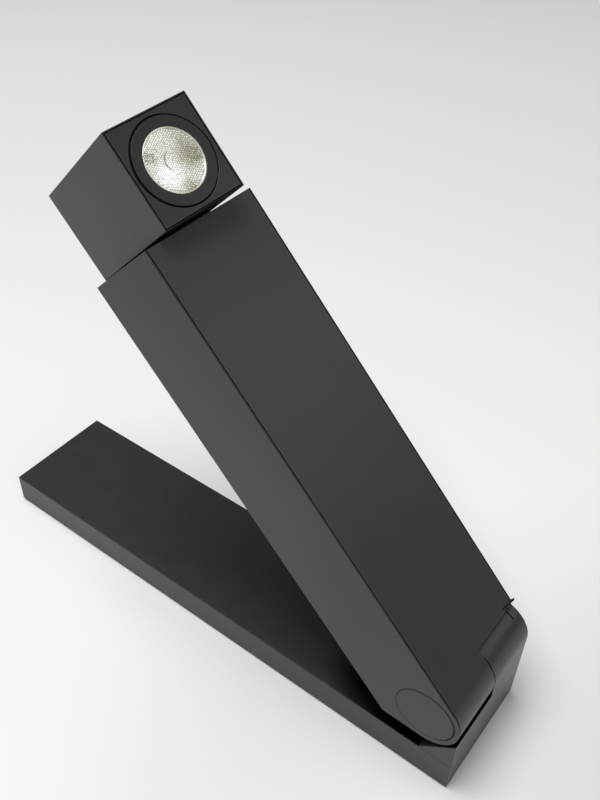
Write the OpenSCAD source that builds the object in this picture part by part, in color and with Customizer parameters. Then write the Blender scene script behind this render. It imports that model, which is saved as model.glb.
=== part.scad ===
// Folding LED desk lamp, closing to one square bar.
// The origin is the centre of the base's footprint on the table. X runs along the base towards
// the hinge, Y across it towards the far side, Z up.

/* [Bar] */
// Width of the base, of the arm and of the head's long side
bar_w = 70; // [60:1:84]
// Distance from the hinge axis to the free end of the base
base_reach = 300; // [250:1:360]
// Height of the base slab above its foot pad
base_t = 19.2; // [18:0.2:24]
// Radius of the arm's barrel and of the base's knuckle
hinge_r = 18.7; // [18:0.1:22]
// Depth of the arm below the hinge axis
arm_below = 28.6; // [26:0.2:34]
// Space left between the closed arm and the base
closing_gap = 0.6; // [0.4:0.1:2]
// Distance from the hinge axis to the arm's tip
arm_len = 251.1; // [215:0.1:290]
// Space between the arm's tip and the head
head_gap = 1.3; // [1:0.1:2]
// Length of the head along the arm
head_len = 47.6; // [45:0.1:56]

/* [Pose at rest] */
// Angle that the arm has opened from the base
open_angle = 46.3; // [30:0.1:70]
// Lean of the light's direction towards the near side
head_lean = 5.6; // [-20:0.1:20]

/* [Hinge] */
// Slope of the base's ramp and of the undercut that closes on it
ramp_angle = 45; // [40:1:50]
// Distance from the hinge axis to the ramp
ramp_clear = 20.4; // [20.2:0.1:22]
// Radius of the arm's hollow round the knuckle
notch_r = 21.2; // [20.8:0.1:23]
// Space between the barrel's inner end and the knuckle
hinge_gap = 0.7; // [0.5:0.1:1]
// Radius of the hinge pin
pin_r = 6; // [5:0.5:7]
// Radius of the wire way through the pin
pin_bore_r = 3; // [2:0.5:3.5]
// Running clearance at the pin and at the swivel
run_clear = 0.05; // [0.03:0.01:0.08]
// Length of the pin that the knuckle grips
pin_grip = 25; // [20:1:26]
// Outer radius of the hinge bushes
bush_r = 8; // [7.5:0.5:9]
// Length of one hinge bush
bush_len = 4.6; // [4:0.1:4.8]
// Width of the clamping slot in the knuckle
slot_w = 0.7; // [0.5:0.1:1.2]
// Depth of the clamping slot
slot_depth = 3; // [2:0.5:5]
// Width of the knuckle's strip outside the slot
slot_strip = 5.3; // [4:0.1:8]
// Angle above the level at which the clamping slot runs out
slot_low = 51; // [40:1:60]

/* [Shells] */
// Wall of the arm's channel
arm_wall = 2.4; // [2:0.1:3]
// Thickness of the arm's bent cover
cover_t = 1.6; // [1.2:0.1:2]
// Width of the lip beside a cover
lip_t = 0.6; // [0.5:0.1:1.2]
// Width of a seam between two shells
seam = 0.55; // [0.3:0.05:0.7]
// Wall of the head's shell
head_wall = 2.2; // [2:0.1:3]
// Small bevel on the long edges
bevel = 0.3; // [0.2:0.1:0.5]

/* [Button] */
// Radius of the hole that the round push button fills
button_hole_r = 15.8; // [13:0.1:16]
// Play round the button
button_play = 0.3; // [0.15:0.05:0.4]
// Thickness of the button's cap
button_t = 2.8; // [2:0.1:4]
// Travel of the button
button_travel = 0.8; // [0.4:0.1:1.2]

/* [Light] */
// Radius of the lens
lens_r = 15; // [12:0.1:16]
// Depth of the lens behind its front face
lens_depth = 12; // [9:0.5:14]
// Outer radius of the bezel's seat in the head's front
bezel_r = 20.8; // [18:0.1:21]
// Width of the groove round the bezel
bezel_groove = 0.6; // [0.3:0.1:0.8]
// Depth of the lens face below the head's front
lens_inset = 0.9; // [0.5:0.1:2]
// Number of fins on the heat sink
fin_count = 7; // [4:1:9]
// Length of the heat sink's fins
fin_len = 20; // [12:1:26]

/* [Swivel] */
// Outer radius of the swivel tube
swivel_r = 8; // [7:0.1:9]
// Bore of the swivel tube
swivel_bore = 5.5; // [4:0.1:6]
// Radius of the sliding washer between arm and head
swivel_washer_r = 17; // [13:0.5:19]

/* [Base parts] */
// Thickness of the foot pad
pad_t = 1.2; // [0.8:0.1:2]
// Wall left over and round the base's pocket
base_wall = 3; // [2.5:0.1:5]
// Thickness of the steel bottom cover
bottom_t = 1.5; // [1:0.1:2]
// Thickness of the ballast plate
ballast_t = 11; // [8:0.5:11]

/* [Hidden] */
$fn = 96;
eps = 0.01;
half_w = bar_w / 2;
length_all = base_reach + hinge_r;
axis_x = length_all / 2 - hinge_r;
base_top = pad_t + base_t;
axis_z = base_top + closing_gap + arm_below;
arm_t = hinge_r + arm_below;
arm_mid = (hinge_r - arm_below) / 2;
head_u = arm_len + head_gap;
half_gap = hinge_gap / 2;
fit_gap = 0.1;

// Screw sizes: shank radius, head radius, head height
screw_r = 1.5;
screw_head_r = 2.75;
screw_head_t = 1.7;

// Places inside the base, measured from the hinge axis along X
pocket_far = -base_reach + 8;
pocket_near = -34;
pocket_top = base_top - base_wall;
pocket_half = half_w - 6;
rebate = 2.5;
cover_z = pad_t + bottom_t;
board_size = [30, 2 * pocket_half - 11, 1.6];
board_x = pocket_near - board_size[0] - 14;
board_y = 9 - pocket_half;
board_z = pocket_top - 5.6;
choke_low = [3, 8];
choke_size = [10, 8, 7];
bridge_low = [16, 8];
bridge_size = [10, 8, 4];
capacitor_at = [8, 24];
capacitor_r = 4;
capacitor_t = 7.5;
ballast_x = pocket_far + 10;
ballast_len = board_x - 5 - ballast_x;
socket_size = [9, 10.4, 3.2];
socket_y = half_w - 11;
socket_x = board_x + board_size[0] / 2;
duct_r = 1.7;
duct_y = pin_grip + duct_r + 0.1;

// Places inside the barrel, measured from the hinge plane towards the near side
bush_end = 2 * bush_len + (half_w - 30) / 5;
nut_room_r = 12;
thrust_washer_r = 13;
spring_t = 1.5;
spring_count = 2;
nut_t = (half_w - 5) / 5;
nut_r = 10.4;
nut_y = bush_end + spring_t * spring_count + fit_gap;
pin_end = nut_y + nut_t + 0.5;
carrier_y = pin_end + 0.6;
carrier_t = 2 * half_w / 35;
switch_y = carrier_y + carrier_t;
switch_size = [6.2, 6.2, 3.5];
pcb_t = 1.6;
cap_floor = half_w - button_t - button_travel - 0.4;

// Places along the arm, measured from the hinge axis
cavity_u = notch_r + 3;
arm_floor = -arm_below + arm_wall;
under_cover = hinge_r - cover_t;
end_plate_t = 3;
end_plate_u = arm_len - end_plate_t;
end_boss = 7;
end_boss_len = 10;
control_u = 40;
control_size = [70, 34, 1.6];
control_z = arm_floor + 4;
lead_w = 8;
lead_t = 1.4;
swivel_out = 14;
swivel_wall = 1.5;
bush_flange_t = 1;
swivel_nut_t = 5;
swivel_nut_r = 12.5;
swivel_nut_u = end_plate_u - bush_flange_t - 0.3 - swivel_nut_t;

// Places in the head, measured from its centre towards the light
head_half = arm_t / 2;
front_t = 2;
back_t = 3;
light_u = head_u + head_len / 2;
lens_face = half_w - lens_inset;
lens_foot = lens_face - lens_depth;
chip_size = [5, 5, 1];
led_board_t = 1.2;
led_board_r = 14;
led_board_z = lens_foot - 0.2 - chip_size[2] - led_board_t;
sink_base_t = 5;
sink_z = led_board_z - sink_base_t;
fin_t = 1.6;
flange_r = 13;
flange_t = 2;
sink_u0 = head_u + head_wall + flange_t + 3;
sink_u1 = head_u + head_len - head_wall - fit_gap;
sink_half = head_half - head_wall - fit_gap;
holder_wall = 1.6;
holder_r = lens_r + 0.2;
back_post_r = 3;
back_post_len = 12;

// Unit vector of the undercut's outward normal in the arm's section
cut_n = [-sin(ramp_angle), -cos(ramp_angle)];
// The undercut's two ends: just inside the barrel's round, and on the arm's underside
cut_barrel = (hinge_r - 0.03) * cut_n;
cut_floor_u = (arm_below * cos(ramp_angle) - hinge_r) / sin(ramp_angle);
// Angle, from the way to the tip, at which the bent cover ends short of the undercut
wrap_end = 270 - ramp_angle - 8;
// The ramp's two ends, from the hinge axis: on the slab, and on the end face
slab_z = base_top - axis_z;
ramp_foot_x = (ramp_clear + slab_z * cos(ramp_angle)) / sin(ramp_angle);
ramp_top_z = (hinge_r * sin(ramp_angle) - ramp_clear) / cos(ramp_angle);

module at_axis() {
    translate([axis_x, 0, axis_z])
        children();
}

// The arm's own frame: X runs to the tip, Y to the near side, Z out of the top face
module arm_frame() {
    at_axis()
        rotate([0, open_angle, 0])
            rotate([0, 0, 180])
                children();
}

// The head's own frame: X on along the arm from its tip, Z the way that the light points
module head_frame() {
    arm_frame()
        translate([0, 0, arm_mid])
            rotate([-head_lean, 0, 0])
                children();
}

// Raises a section drawn in X and Z to run from y0 to y1
module along_y(y0, y1) {
    translate([0, y1, 0])
        rotate([90, 0, 0])
            linear_extrude(y1 - y0)
                children();
}

// A round bar along X, Y or Z between two places on that line
module bar_x(x0, x1, r) {
    translate([x0, 0, 0])
        rotate([0, 90, 0])
            cylinder(h = x1 - x0, r = r);
}

module bar_y(y0, y1, r) {
    translate([0, y1, 0])
        rotate([90, 0, 0])
            cylinder(h = y1 - y0, r = r);
}

module bar_z(z0, z1, r) {
    translate([0, 0, z0])
        cylinder(h = z1 - z0, r = r);
}

// A box given by its two far corners
module block(low, high) {
    translate(low)
        cube(high - low);
}

// A rectangle with its corners bevelled
module bevelled_rect(low, high) {
    polygon([[low[0] + bevel, low[1]], [high[0] - bevel, low[1]], [high[0], low[1] + bevel],
        [high[0], high[1] - bevel], [high[0] - bevel, high[1]], [low[0] + bevel, high[1]],
        [low[0], high[1] - bevel], [low[0], low[1] + bevel]]);
}

// Raises a section drawn in Y and Z to run from x0 to x1
module along_x(x0, x1) {
    translate([x0, 0, 0])
        rotate([90, 0, 90])
            linear_extrude(x1 - x0)
                children();
}

// A pan-head screw: head on the ground, shank pointing up
module screw(len) {
    cylinder(h = screw_head_t, r = screw_head_r, $fn = 32);
    cylinder(h = screw_head_t + len, r = screw_r, $fn = 32);
}

// The four corners of a rectangle, for screws and their bosses
function corners(x0, x1, y0, y1) = [[x0, y0], [x1, y0], [x1, y1], [x0, y1]];

// Base

cover_boss_r = 5;
cover_corners = corners(pocket_far + 4, pocket_near - 4, -pocket_half + 4, pocket_half - 4);
ballast_holes = [for (s = [0.25, 0.75]) ballast_x + s * ballast_len];
board_holes = [[board_x + 4, board_y + 4], [board_x + board_size[0] - 4, board_y + board_size[1] - 17]];

// The base is placed by the hinge axis along X and stands on the ground
module base_frame() {
    translate([axis_x, 0, 0])
        children();
}

module slab() {
    along_x(-base_reach, hinge_r)
        bevelled_rect([-half_w, pad_t], [half_w, base_top]);
}

// The solid under the barrel: a 45 degree ramp from the slab's top to the end face
module ramp() {
    translate([0, 0, axis_z])
        along_y(-half_w, half_w)
            polygon([[ramp_foot_x, slab_z], [ramp_foot_x, slab_z - 5], [hinge_r, slab_z - 5],
                [hinge_r, ramp_top_z]]);
}

// The round knuckle on the far half, with the root that joins it to the ramp
module knuckle() {
    root_w = 6;
    translate([0, 0, axis_z])
        along_y(half_gap, half_w) {
            circle(r = hinge_r);
            translate([hinge_r - root_w, slab_z])
                square([root_w, -slab_z]);
            intersection() {
                circle(r = notch_r - 0.4);
                polygon([[0, 0], [hinge_r, 0], [hinge_r, slab_z], [ramp_foot_x, slab_z]]);
            }
        }
}

// The saw cut that lets the knuckle clamp on its pin
module clamp_slot() {
    y1 = half_w - slot_strip;
    translate([0, 0, axis_z])
        difference() {
            bar_y(y1 - slot_w, y1, hinge_r + 1);
            bar_y(y1 - slot_w - 1, y1 + 1, hinge_r - slot_depth);
            block([-hinge_r - 2, y1 - slot_w - 1, -hinge_r - 2], [hinge_r + 2, y1 + 1, hinge_r * sin(slot_low)]);
        }
}

module base_pocket() {
    block([pocket_far, -pocket_half, cover_z], [pocket_near, pocket_half, pocket_top]);
    block([pocket_far - rebate, -pocket_half - rebate, pad_t - 1],
        [pocket_near + rebate, pocket_half + rebate, cover_z]);
}

// The way that the wires take from the pocket to the pin's far end
module base_duct() {
    z = pocket_top - 6;
    translate([0, duct_y, z])
        bar_x(pocket_near - 1, 0, duct_r);
    translate([0, duct_y, z - duct_r])
        bar_z(0, axis_z - z + duct_r, duct_r + 0.1);
}

// The socket's section: two round ends and a flat middle
module socket_section(w, h) {
    for (s = [-1, 1])
        translate([s * (w - h) / 2, 0])
            circle(d = h, $fn = 32);
    square([w - h, h], center = true);
}

module at_socket() {
    translate([socket_x, 0, board_z - socket_size[2] / 2])
        children();
}

module base_casting() {
    color([0.09, 0.09, 0.095])
        base_frame()
            difference() {
                union() {
                    difference() {
                        union() {
                            slab();
                            ramp();
                            knuckle();
                        }
                        base_pocket();
                    }
                    for (c = cover_corners)
                        translate([c[0], c[1], 0])
                            bar_z(cover_z, pocket_top + 1, cover_boss_r);
                    for (c = board_holes)
                        translate([c[0], c[1], 0])
                            bar_z(board_z + board_size[2], pocket_top + 1, 3);
                }
                for (c = cover_corners)
                    translate([c[0], c[1], 0])
                        bar_z(cover_z - 1, cover_z + 8.4, screw_r + run_clear);
                for (c = board_holes)
                    translate([c[0], c[1], 0])
                        bar_z(board_z, board_z + board_size[2] + 5.4, screw_r + run_clear);
                for (x = ballast_holes)
                    translate([x, 0, 0])
                        bar_z(pocket_top - 1, pocket_top + 2.2, screw_r + run_clear);
                translate([0, 0, axis_z])
                    bar_y(half_gap - 1, pin_grip, pin_r + run_clear);
                translate([0, 0, axis_z])
                    bar_y(pin_grip - 1, duct_y + duct_r + 0.5, pin_r - 1);
                translate([0, pin_grip / 2, 0])
                    bar_z(pad_t - 1, axis_z, 2.05);
                clamp_slot();
                base_duct();
                at_socket()
                    along_y(pocket_half - 1, half_w + 1)
                        socket_section(socket_size[0] + 0.4, socket_size[2] + 0.4);
            }
}

module ballast_plate() {
    color([0.45, 0.45, 0.47])
        base_frame()
            difference() {
                block([ballast_x, -pocket_half + 2, pocket_top - ballast_t],
                    [ballast_x + ballast_len, pocket_half - 2, pocket_top]);
                for (x = ballast_holes)
                    translate([x, 0, 0])
                        bar_z(pocket_top - ballast_t - 1, pocket_top + 1, screw_r + 0.2);
            }
}

module ballast_screws() {
    color([0.6, 0.6, 0.62])
        base_frame()
            for (x = ballast_holes)
                translate([x, 0, pocket_top - ballast_t - screw_head_t])
                    screw(ballast_t + 2);
}

module bottom_cover() {
    color([0.12, 0.12, 0.125])
        base_frame()
            difference() {
                block([pocket_far - rebate + fit_gap, -pocket_half - rebate + fit_gap, pad_t],
                    [pocket_near + rebate - fit_gap, pocket_half + rebate - fit_gap, cover_z]);
                for (c = cover_corners)
                    translate([c[0], c[1], 0])
                        bar_z(pad_t - 1, cover_z + 1, screw_r + 0.2);
            }
}

// Flat-headed screws that lie within the foot pad's thickness
module bottom_cover_screws() {
    head_t = pad_t - 0.3;
    color([0.2, 0.2, 0.21])
        base_frame()
            for (c = cover_corners)
                translate([c[0], c[1], pad_t - head_t]) {
                    cylinder(h = head_t, r = screw_head_r, $fn = 32);
                    cylinder(h = head_t + bottom_t + 8, r = screw_r, $fn = 32);
                }
}

module foot_pad() {
    color([0.06, 0.06, 0.06])
        base_frame()
            difference() {
                block([-base_reach + 3, -half_w + 3, 0], [hinge_r - 3, half_w - 3, pad_t]);
                for (c = cover_corners)
                    translate([c[0], c[1], 0])
                        bar_z(-1, pad_t + 1, screw_head_r + 0.5);
                translate([0, pin_grip / 2, 0])
                    bar_z(-1, pad_t + 1, 2.5);
            }
}

module driver_board() {
    color([0.05, 0.3, 0.16])
        base_frame()
            difference() {
                union() {
                    translate([board_x, board_y, board_z])
                        cube(board_size);
                    translate([board_x + choke_low[0], board_y + choke_low[1], board_z - choke_size[2]])
                        cube(choke_size);
                    translate([board_x + bridge_low[0], board_y + bridge_low[1], board_z - bridge_size[2]])
                        cube(bridge_size);
                    translate([board_x + capacitor_at[0], board_y + capacitor_at[1], 0])
                        bar_z(board_z - capacitor_t, board_z, capacitor_r);
                }
                for (c = board_holes)
                    translate([c[0], c[1], 0])
                        bar_z(board_z - 1, board_z + 3, screw_r + 0.2);
            }
}

module driver_screws() {
    color([0.6, 0.6, 0.62])
        base_frame()
            for (c = board_holes)
                translate([c[0], c[1], board_z - screw_head_t])
                    screw(board_size[2] + 5);
}

module power_socket() {
    w = socket_size[0];
    h = socket_size[2];
    y1 = socket_y + socket_size[1];
    color([0.7, 0.7, 0.72])
        base_frame()
            at_socket() {
                difference() {
                    along_y(socket_y, y1)
                        socket_section(w, h);
                    along_y(socket_y + 1.5, y1 + 1)
                        socket_section(w - 0.7, h - 0.7);
                }
                block([-3.2, socket_y + 1, -0.35], [3.2, y1 - 1, 0.35]);
            }
}

// Hinge

module hinge_pin() {
    color([0.62, 0.62, 0.64])
        at_axis()
            difference() {
                bar_y(-pin_end, pin_grip, pin_r);
                bar_y(-pin_end - 1, pin_grip + 1, pin_bore_r);
            }
}

module pin_grub_screw() {
    color([0.3, 0.3, 0.31])
        at_axis()
            translate([0, pin_grip / 2, 0])
                bar_z(-pin_r - 9, -pin_r, 2);
}

// Two dished spring washers, back to back
module disc_springs() {
    color([0.5, 0.5, 0.52])
        at_axis()
            for (i = [0:spring_count - 1])
                rotate([90, 0, 0])
                    translate([0, 0, bush_end + 0.05 + i * spring_t])
                        mirror([0, 0, i % 2])
                            translate([0, 0, i % 2 == 0 ? 0 : -spring_t])
                                rotate_extrude()
                                    polygon([[pin_r + run_clear, 0], [nut_room_r - 1.5, 0.5],
                                        [nut_room_r - 1.5, spring_t], [pin_r + run_clear, spring_t - 0.5]]);
}

module hinge_nut() {
    color([0.55, 0.55, 0.57])
        at_axis()
            rotate([90, 0, 0])
                translate([0, 0, nut_y])
                    difference() {
                        cylinder(h = nut_t, r = nut_r, $fn = 6);
                        translate([0, 0, -1])
                            cylinder(h = nut_t + 2, r = pin_r + 0.02);
                    }
}

// Arm

// The arm's side view: a bar that ends in the round barrel, with the undercut below it
module arm_section() {
    circle(r = hinge_r);
    polygon([[0, hinge_r], [arm_len, hinge_r], [arm_len, -arm_below], [cut_floor_u, -arm_below],
        cut_barrel, [0, 0]]);
}

// The bent cover's side view: a flat top that wraps round the barrel to the undercut. Its recess
// in the channel is the same section, let out beyond the surface.
module cover_section(out = 0) {
    far = 3 * hinge_r;
    translate([0, under_cover])
        square([arm_len + out, cover_t + out]);
    intersection() {
        difference() {
            circle(r = hinge_r + out);
            circle(r = under_cover);
        }
        polygon([[0, 0], [0.01, far], [-far, far], [-far, far * sin(wrap_end)],
            far * [cos(wrap_end), sin(wrap_end)]]);
    }
}

module round_knuckle_notch() {
    along_y(-half_w - 1, half_gap)
        circle(r = notch_r);
}

end_bosses = corners(-half_w + arm_wall, half_w - arm_wall - end_boss, arm_floor, under_cover - end_boss);
control_holes = [[control_u + 5, -12], [control_u + control_size[0] - 14, 12]];

module barrel_bores() {
    bar_y(-1, bush_end + eps, bush_r);
    bar_y(bush_end, cap_floor + eps, nut_room_r);
    bar_y(cap_floor, half_w + 1, button_hole_r);
    translate([0, bush_end + 6, 0])
        bar_x(0, cavity_u + 1, 3);
}

module arm_channel() {
    color([0.1, 0.1, 0.105])
        arm_frame()
            difference() {
                union() {
                    difference() {
                        intersection() {
                            along_y(-half_w, half_w)
                                arm_section();
                            along_x(-hinge_r - 1, arm_len)
                                bevelled_rect([-half_w, -arm_below], [half_w, hinge_r]);
                        }
                        round_knuckle_notch();
                        block([cavity_u, -half_w + arm_wall, arm_floor],
                            [arm_len + 1, half_w - arm_wall, hinge_r + 1]);
                        along_y(-half_w + lip_t, half_w - lip_t)
                            cover_section(1);
                        barrel_bores();
                    }
                    for (c = end_bosses)
                        block([end_plate_u - end_boss_len, c[0], c[1]],
                            [end_plate_u, c[0] + end_boss, c[1] + end_boss]);
                    for (c = control_holes)
                        translate([c[0], c[1], 0])
                            bar_z(arm_floor - 1, control_z, 3);
                }
                for (c = end_bosses)
                    translate([0, c[0] + end_boss / 2, c[1] + end_boss / 2])
                        bar_x(end_plate_u - 8.4, end_plate_u + 1, screw_r + run_clear);
                for (c = control_holes)
                    translate([c[0], c[1], 0])
                        bar_z(arm_floor - 0.8, control_z + 1, screw_r + run_clear);
            }
}

module arm_cover() {
    side = half_w - lip_t - seam;
    color([0.1, 0.1, 0.105])
        arm_frame()
            difference() {
                union() {
                    along_y(half_gap, side)
                        cover_section();
                    along_y(-side, side)
                        translate([notch_r / 3, under_cover])
                            square([arm_len - notch_r / 3, cover_t]);
                }
                round_knuckle_notch();
            }
}

module arm_end_plate() {
    color([0.12, 0.12, 0.125])
        arm_frame()
            difference() {
                block([end_plate_u, -half_w + arm_wall + fit_gap, arm_floor + fit_gap],
                    [arm_len, half_w - arm_wall - fit_gap, under_cover - fit_gap]);
                for (c = end_bosses)
                    translate([0, c[0] + end_boss / 2, c[1] + end_boss / 2]) {
                        bar_x(end_plate_u - 1, arm_len + 1, screw_r + 0.2);
                        bar_x(arm_len - screw_head_t - fit_gap, arm_len + 1, screw_head_r + 0.2);
                    }
                translate([0, 0, arm_mid])
                    bar_x(end_plate_u - 1, arm_len + 1, swivel_r + swivel_wall);
            }
}

module arm_end_screws() {
    color([0.3, 0.3, 0.31])
        arm_frame()
            for (c = end_bosses)
                translate([arm_len - fit_gap, c[0] + end_boss / 2, c[1] + end_boss / 2])
                    rotate([0, -90, 0])
                        screw(end_plate_t - screw_head_t - fit_gap + 8);
}

module hinge_bushes() {
    color([0.72, 0.55, 0.3])
        arm_frame()
            for (y = [half_gap, bush_end - bush_len])
                difference() {
                    bar_y(y, y + bush_len, bush_r);
                    bar_y(y - 1, y + bush_len + 1, pin_r + run_clear);
                }
}

// The sliding washer between the barrel and the knuckle
module thrust_washer() {
    color([0.85, 0.85, 0.82])
        arm_frame()
            difference() {
                bar_y(-half_gap + fit_gap, half_gap, thrust_washer_r);
                bar_y(-half_gap - 1, half_gap + 1, pin_r + 0.2);
            }
}

module switch_carrier() {
    color([0.2, 0.2, 0.2])
        arm_frame()
            bar_y(carrier_y, carrier_y + carrier_t, nut_room_r - fit_gap);
}

module switch_board() {
    y1 = switch_y + pcb_t;
    s = switch_size;
    color([0.05, 0.3, 0.16])
        arm_frame()
            difference() {
                union() {
                    bar_y(switch_y, y1, nut_room_r - fit_gap);
                    block([-s[0] / 2, y1, -s[1] / 2], [s[0] / 2, y1 + s[2], s[1] / 2]);
                }
                bar_y(y1 + s[2] - 1.5, y1 + s[2] + 1, 1.9);
            }
}

module control_board() {
    c = control_size;
    color([0.05, 0.3, 0.16])
        arm_frame()
            difference() {
                union() {
                    translate([control_u, -c[1] / 2, control_z])
                        cube(c);
                    block([control_u + c[0] - 9, -4, control_z + c[2]], [control_u + c[0], 4, control_z + c[2] + 5]);
                    block([control_u + 20, -6, control_z + c[2]], [control_u + 32, 6, control_z + c[2] + 2]);
                    block([control_u + 2, 2, control_z + c[2]], [control_u + 10, 10, control_z + c[2] + 5]);
                }
                for (h = control_holes)
                    translate([h[0], h[1], 0])
                        bar_z(control_z - 1, control_z + 5, screw_r + 0.2);
            }
}

module control_board_screws() {
    color([0.6, 0.6, 0.62])
        arm_frame()
            for (h = control_holes)
                translate([h[0], h[1], control_z + control_size[2] + screw_head_t])
                    rotate([180, 0, 0])
                        screw(control_size[2] + 4);
}

// The flat ribbon cable that lies on the arm's floor on its way to the swivel tube
module arm_lead() {
    low = arm_floor + 0.2;
    plug_u = control_u + control_size[0] + 0.2;
    plug_z = control_z + control_size[2] + 2.5;
    mouth_u = end_plate_u - swivel_out - 0.5;
    path = [[plug_u, plug_z], [plug_u + 8, plug_z], [plug_u + 18, low], [mouth_u - 32, low],
        [mouth_u - 12, arm_mid], [mouth_u, arm_mid]];
    color([0.15, 0.15, 0.16])
        arm_frame()
            along_y(-lead_w / 2, lead_w / 2)
                polygon(concat(path, [for (i = [len(path) - 1:-1:0]) path[i] + [0, lead_t]]));
}

module swivel_bush() {
    color([0.85, 0.85, 0.82])
        arm_frame()
            translate([0, 0, arm_mid])
                difference() {
                    union() {
                        bar_x(end_plate_u - bush_flange_t, arm_len, swivel_r + swivel_wall - 0.02);
                        bar_x(end_plate_u - bush_flange_t, end_plate_u, swivel_r + 3.5);
                    }
                    bar_x(end_plate_u - 5, arm_len + 1, swivel_r + run_clear);
                }
}

module swivel_washer() {
    color([0.1, 0.1, 0.1])
        arm_frame()
            translate([0, 0, arm_mid])
                difference() {
                    bar_x(arm_len, head_u - 0.2, swivel_washer_r);
                    bar_x(arm_len - 1, head_u + 1, swivel_r + 0.3);
                }
}

// Button

module push_button() {
    stem_end = switch_y + pcb_t + switch_size[2] + 1.4;
    color([0.11, 0.11, 0.115])
        arm_frame() {
            bar_y(half_w - button_t, half_w, button_hole_r - button_play);
            bar_y(stem_end, half_w - button_t + 0.5, 3);
        }
}

module switch_plunger() {
    top = switch_y + pcb_t + switch_size[2];
    color([0.25, 0.25, 0.25])
        arm_frame()
            bar_y(top - 0.5, top + 1.4, 1.7);
}

// Head

module head_outline() {
    bevelled_rect([head_u, -head_half], [head_u + head_len, head_half]);
}

module head_inside(wall) {
    translate([head_u + wall, -head_half + wall])
        square([head_len - 2 * wall, 2 * (head_half - wall)]);
}

back_posts = corners(head_u + head_wall + 2, head_u + head_len - head_wall - 2,
    -head_half + head_wall + 2, head_half - head_wall - 2);

module at_light() {
    translate([light_u, 0, 0])
        children();
}

module head_shell() {
    color([0.1, 0.1, 0.105])
        head_frame()
            difference() {
                union() {
                    difference() {
                        translate([0, 0, -half_w])
                            linear_extrude(bar_w)
                                head_outline();
                        translate([0, 0, -half_w - 1])
                            linear_extrude(bar_w + 2)
                                head_inside(head_wall);
                        translate([0, 0, half_w - front_t])
                            linear_extrude(front_t + 1)
                                head_inside(lip_t);
                        translate([0, 0, -half_w - 1])
                            linear_extrude(back_t + 1)
                                head_inside(lip_t);
                        bar_x(head_u - 1, head_u + head_wall + 1, swivel_r + 0.02);
                    }
                    for (c = back_posts)
                        translate([c[0], c[1], 0])
                            bar_z(-half_w + back_t, -half_w + back_t + back_post_len, back_post_r);
                }
                for (c = back_posts)
                    translate([c[0], c[1], 0])
                        bar_z(-half_w, -half_w + back_t + 8.4, screw_r + run_clear);
            }
}

module head_front() {
    color([0.1, 0.1, 0.105])
        head_frame()
            difference() {
                translate([0, 0, half_w - front_t])
                    linear_extrude(front_t)
                        head_inside(lip_t + seam);
                at_light()
                    bar_z(half_w - front_t - 1, half_w + 1, bezel_r);
            }
}

module head_back() {
    color([0.1, 0.1, 0.105])
        head_frame()
            difference() {
                translate([0, 0, -half_w])
                    linear_extrude(back_t)
                        head_inside(lip_t + seam);
                for (c = back_posts)
                    translate([c[0], c[1], 0]) {
                        bar_z(-half_w - 1, -half_w + back_t + 1, screw_r + 0.2);
                        bar_z(-half_w - 1, -half_w + screw_head_t + fit_gap, screw_head_r + 0.2);
                    }
            }
}

module head_back_screws() {
    color([0.3, 0.3, 0.31])
        head_frame()
            for (c = back_posts)
                translate([c[0], c[1], -half_w + fit_gap])
                    screw(back_t - screw_head_t - fit_gap + 8);
}

module bezel_ring() {
    color([0.09, 0.09, 0.095])
        head_frame()
            at_light()
                difference() {
                    bar_z(half_w - front_t, half_w, bezel_r - bezel_groove);
                    bar_z(half_w - front_t - 1, half_w + 1, lens_r + 0.15);
                }
}

// A collimating lens: a flat face over a cone, with a well over the light
module lens() {
    rim_t = 1.5;
    foot_r = 5.5;
    well_r = 3.2;
    color([0.85, 0.87, 0.88])
        head_frame()
            at_light()
                translate([0, 0, lens_foot])
                    rotate_extrude()
                        polygon([[0, 5], [well_r, 5], [well_r, 0], [foot_r, 0],
                            [lens_r - 1, lens_depth - rim_t], [lens_r, lens_depth - rim_t],
                            [lens_r, lens_depth], [0, lens_depth]]);
}

// The cup that carries the lens and the bezel on the light's board
module lens_holder() {
    foot = led_board_z + led_board_t;
    top = half_w - front_t;
    color([0.14, 0.14, 0.145])
        head_frame()
            at_light()
                difference() {
                    union() {
                        bar_z(foot, top, holder_r + holder_wall);
                        bar_z(top - 1.5, top, bezel_r - 0.6);
                    }
                    bar_z(foot - 1, top + 1, holder_r);
                }
}

module led_chip() {
    color([0.95, 0.85, 0.3])
        head_frame()
            at_light()
                translate([-chip_size[0] / 2, -chip_size[1] / 2, led_board_z + led_board_t])
                    cube(chip_size);
}

led_screw_x = 10;

module led_board() {
    color([0.85, 0.85, 0.85])
        head_frame()
            at_light()
                difference() {
                    bar_z(led_board_z, led_board_z + led_board_t, holder_r + holder_wall);
                    for (s = [-1, 1])
                        translate([s * led_screw_x, 0, 0])
                            bar_z(led_board_z - 1, led_board_z + 3, screw_r + 0.2);
                }
}

module led_board_screws() {
    color([0.6, 0.6, 0.62])
        head_frame()
            at_light()
                for (s = [-1, 1])
                    translate([s * led_screw_x, 0, led_board_z + led_board_t + screw_head_t])
                        rotate([180, 0, 0])
                            screw(led_board_t + 4);
}

module heat_sink() {
    pitch = (2 * sink_half - fin_t) / (fin_count - 1);
    color([0.65, 0.66, 0.68])
        head_frame()
            difference() {
                union() {
                    block([sink_u0, -sink_half, sink_z], [sink_u1, sink_half, led_board_z]);
                    for (i = [0:fin_count - 1])
                        translate([0, -sink_half + i * pitch, 0])
                            block([sink_u0, 0, sink_z - fin_len], [sink_u1, fin_t, sink_z + 1]);
                }
                for (s = [-1, 1])
                    translate([light_u + s * led_screw_x, 0, 0])
                        bar_z(led_board_z - 4.4, led_board_z + 1, screw_r + run_clear);
            }
}

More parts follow.
